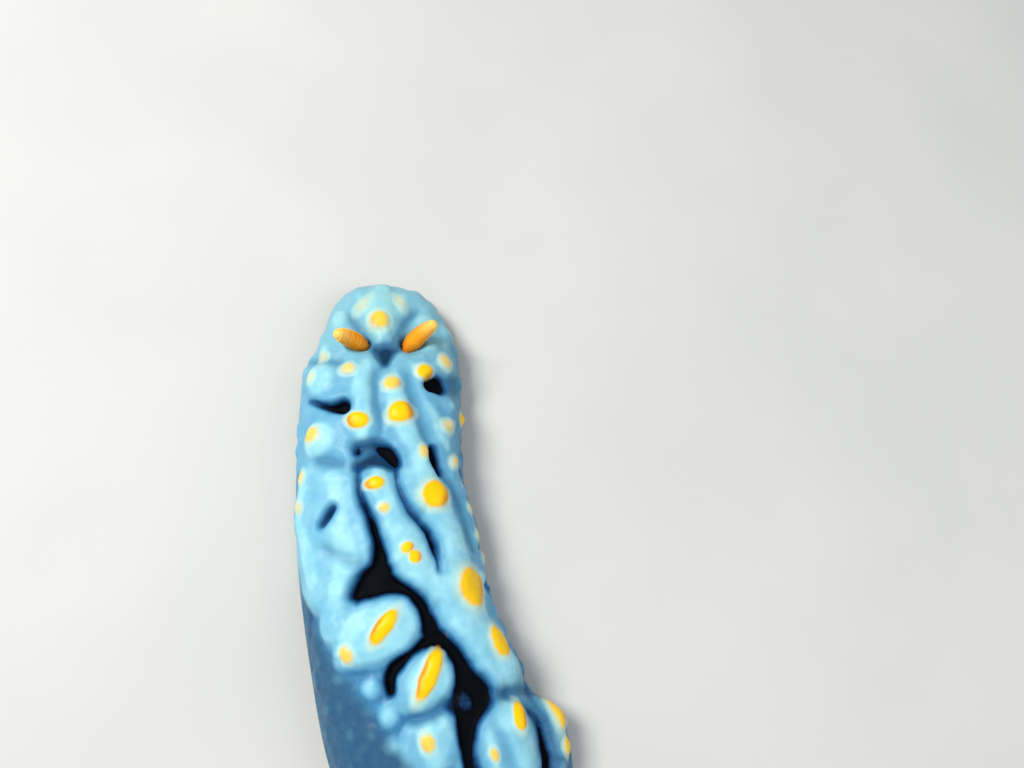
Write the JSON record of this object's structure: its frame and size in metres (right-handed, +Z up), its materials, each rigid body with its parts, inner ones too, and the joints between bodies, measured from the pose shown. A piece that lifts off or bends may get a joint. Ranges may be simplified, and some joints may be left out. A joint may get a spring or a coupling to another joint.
{
  "type": "phyllidia nudibranch",
  "caption": "Life-size still model of a phyllidia nudibranch, a flat sea slug with ridged, yellow-capped back, leafed rhinophores and a crawling foot.",
  "frame": {"origin": "on the floor under the middle of the whole animal's box", "axes": "+Y from the head towards the tail, +X to the animal's own left, +Z up from the sole of the foot"},
  "size_m": [0.0306, 0.0814, 0.0115],
  "materials": {
    "mantle": "moist skin, pale blue ridges with yellow caps on black",
    "foot": "moist grey skin",
    "head": "moist grey skin",
    "oral_tentacle": "moist grey skin",
    "rhinophore": "moist orange skin in fine leaves",
    "papilla": "moist pale skin"
  },
  "bodies": {
    "root": {"mantle_front": "mantle", "mantle_middle": "mantle", "mantle_rear": "mantle", "foot": "foot", "head": "head", "oral_tentacle_left": "oral_tentacle", "oral_tentacle_right": "oral_tentacle", "rhinophore_left": "rhinophore", "rhinophore_right": "rhinophore", "anal_papilla": "papilla"}
  },
  "joints": []
}
